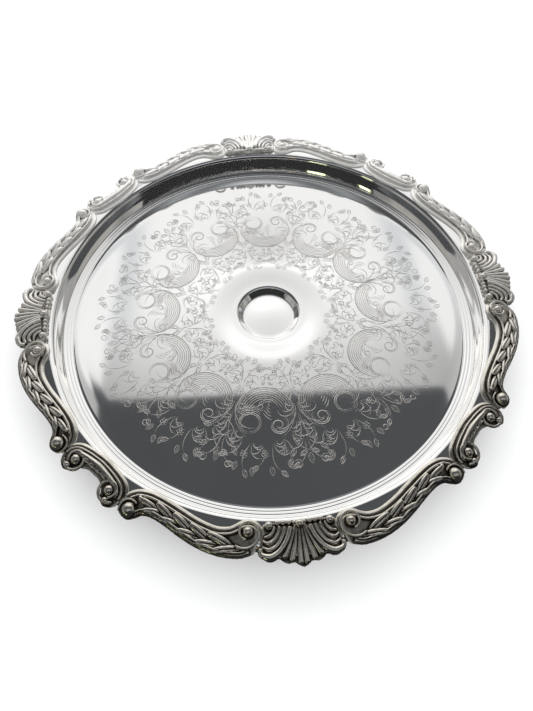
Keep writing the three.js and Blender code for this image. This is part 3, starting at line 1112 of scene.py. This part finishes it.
# %% Shell
FLUTES = [(1.5, 20.2), (5.5, 18.7), (8.9, 17.0)]  # tip, in mm from the middle line and outwards
RIBS = [
    [(4.9, 4.2), (6.6, 9.0), (10.5, 14.3), (15.5, 16.9), (19.6, 15.9), (20.6, 13.6)],
    [(7.6, 3.8), (8.9, 7.8), (12.0, 12.0), (16.0, 13.6), (19.0, 12.3)],
    [(10.1, 3.4), (11.1, 6.4), (13.5, 9.5), (16.5, 10.6), (18.6, 9.4)],
    [(12.5, 3.2), (13.3, 5.2), (15.2, 7.2), (17.6, 7.6)],
]
RIB_THICKNESS = [1.6, 1.05, 0.95, 0.85]
BEADS = [(2.2, 2.3, 1.25), (5.2, 2.0, 1.3), (8.0, 1.8, 1.35), (10.8, 1.7, 1.35), (15.4, 2.6, 2.1)]


def shell():
    wax = Wax()
    base = MOUNT_BASE
    side = SHELL_EDGE[1:] + SHELL_SIDE
    outline = ring_path([SHELL_EDGE[0]] + side + [(0, 0.02)] + mirrored(side), 6, closed=True)
    wax.bed(outline, 1.4 * MM, 1.0 * MM)
    for hand in (1, -1):
        for across, out in FLUTES:
            root = np.array((hand * (0.4 + across * 0.2) * MM, BORDER_INNER + 3.6 * MM))
            tip = np.array((hand * across * MM, BORDER_INNER + out * MM))
            middle = (root + tip) / 2 + np.array((hand * -0.05 * across * MM, 0))
            path = smooth_path([root, middle, tip], 12)
            wax.roll(path, [base + 2.6 * MM, base + 3.2 * MM, base + 3.4 * MM, base + 3.3 * MM],
                     [0.7 * MM, 0.9 * MM, 1.2 * MM, 1.5 * MM])
            wax.ball(tip[0], tip[1], base + 3.1 * MM, 1.65 * MM)
        for order, rib in enumerate(RIBS):
            points = [np.array((hand * x * MM, BORDER_INNER + y * MM)) for x, y in rib]
            thick = RIB_THICKNESS[order]
            top = 3.5 - 0.35 * order
            wax.roll(smooth_path(points, 10),
                     [base + h * MM for h in (0.9 * top, top, top, 0.75 * top)],
                     [r * thick * MM for r in (0.7, 1.0, 1.1, 0.7)])
            x, y = points[-1]
            wax.ball(x, y, base + top * 0.8 * MM, 0.8 * thick * MM)
        for across, out, radius in BEADS:
            wax.ball(hand * across * MM, BORDER_INNER + out * MM, base + 1.6 * MM, radius * MM)
    wax.ball(0, BORDER_INNER + 3.2 * MM, base + 2.2 * MM, 2.3 * MM)
    wax.lean(LEAN, BORDER_INNER + 9 * MM)
    return wax.cast("shell")


shell_data = shell()

# %% [markdown]
# ### C-scroll
#
# A short plain band bends away from the tray, ends in two volutes with ball eyes, and carries a few
# leafy cuts on its outer side.

# %% C-scroll
def c_scroll():
    wax = Wax()
    base = MOUNT_BASE
    half_ring = C_EDGE + mirrored(C_EDGE[:-1]) + mirrored(C_INNER[1:]) + C_INNER
    wax.bed(ring_path(half_ring, 8, closed=True), 1.3 * MM, 0.8 * MM)
    half = C_INNER[::-1]
    inner = ring_path(half + mirrored(half[:-1]), 8)
    wax.fillet(shifted(inner, -0.5 * MM)[4:-4], FLANGE_TOP + 0.1 * MM, 2.0 * MM, 0.42)
    wax.roll(shifted(inner, 1.1 * MM), [base + 1.9 * MM] * 2, [0.7 * MM] * 2)
    wax.roll(shifted(inner, 3.7 * MM), [base + 2.0 * MM, base + 2.5 * MM, base + 2.0 * MM],
             [1.3 * MM, 1.9 * MM, 1.3 * MM])
    for hand in (1, -1):
        eye = on_ring(hand * 5.0, 0.48)
        curl = spiral((0, 0), [6.4, 5.6, 5.0, 4.6, 4.2, 3.8], 150, -230, 50)
        curl = np.column_stack([eye[0] + hand * -curl[:, 0], eye[1] + curl[:, 1]])
        wax.roll(curl, [base + 2.4 * MM, base + 3.2 * MM], [0.9 * MM, 0.75 * MM])
        wax.ball(eye[0], eye[1], base + 1.9 * MM, 2.9 * MM)
        tip = on_ring(hand * 5.6, 0.70)
        wax.ball(tip[0], tip[1], base + 1.6 * MM, 2.2 * MM)
    for index, degrees in enumerate((-2.3, -0.7, 0.9, 2.5)):
        x, y = on_ring(degrees, 0.31)
        wax.leaf(Vector((x, y, base + 3.0 * MM)), math.radians(8 * index - 12),
                 6.5 * MM, 2.6 * MM, 1.2 * MM, math.radians(8))
    wax.lean(LEAN, BORDER_INNER + 8 * MM)
    return wax.cast("c_scroll")


c_data = c_scroll()

# %% [markdown]
# ### Scroll foot
#
# A low foot stands under each C-scroll: a pad soldered to the plate, a leg that sweeps down in an
# S, and a toe that rolls outwards. Its front is fluted, as if five rods ran side by side.

# %% Scroll foot
FOOT_CIRCLE = PLATE_RADIUS - 16.5 * MM
LAY_ON_SIDE = Matrix(((0, 0, 1, 0), (1, 0, 0, 0), (0, 1, 0, 0), (0, 0, 0, 1)))


def scroll_foot():
    wax = Wax()
    top = FOOT_TOP / MM
    web = [(-3.0, 2.6), (-1.6, 0.7), (1.0, 0.35), (6.6, 0.4), (7.6, 2.2), (5.0, 3.4), (3.4, 4.6),
           (4.6, 6.6), (8.0, top - 1.3), (-8.0, top - 1.3), (-4.2, 6.8), (-3.4, 4.8)]
    web = np.array(web) * MM
    wax.bed(web, 9.6 * MM, 0.7 * MM, -4.8 * MM)
    wax.turn(LAY_ON_SIDE)
    pad = np.array([(-5.6, -8.6), (5.6, -8.6), (5.6, 8.6), (-5.6, 8.6)]) * MM
    wax.bed(pad, 1.5 * MM, 0.3 * MM, (top - 1.5) * MM)
    sweep_line = [(8.3, top - 1.7), (5.2, 6.8), (4.2, 4.9), (5.2, 3.6), (7.0, 3.0)]
    heel_line = [(-8.3, top - 1.7), (-4.6, 6.6), (-3.5, 4.6), (-2.9, 2.4), (-1.0, 1.25), (3.0, 1.2)]
    for across in (-4.4, -2.2, 0, 2.2, 4.4):
        for line in (sweep_line, heel_line):
            rod = smooth_path([(across * MM, y * MM, z * MM) for y, z in line], 6)
            wax.rod(rod, [1.05 * MM] * len(rod))
    for z, radius in ((2.25, 2.1), (2.25, 1.0)):
        toe = [(x * MM, 6.6 * MM, z * MM) for x in ((-5.4, 5.4) if radius > 2 else (-5.9, 5.9))]
        wax.rod(toe, [radius * MM] * 2)
    bmesh.ops.translate(wax.mesh, verts=wax.mesh.verts, vec=(0, FOOT_CIRCLE, 0))
    return wax.cast("scroll_foot")


foot_data = scroll_foot()

# %% Set the castings round the tray
for index, side in enumerate(SIDES):
    after = SIDES[(index + 1) % 4]
    before = SIDES[(index + 3) % 4]
    place(shell_data, f"shell_mount_{side}", 90 * index)
    place(leaf_data, f"leaf_scroll_{side}_{after}", 90 * index)
    place(leaf_data, f"leaf_scroll_{side}_{before}", 90 * index, mirror=True)
    place(c_data, f"c_scroll_{side}_{after}", 90 * index + 45)
    place(foot_data, f"foot_{side}_{after}", 90 * index + 45)
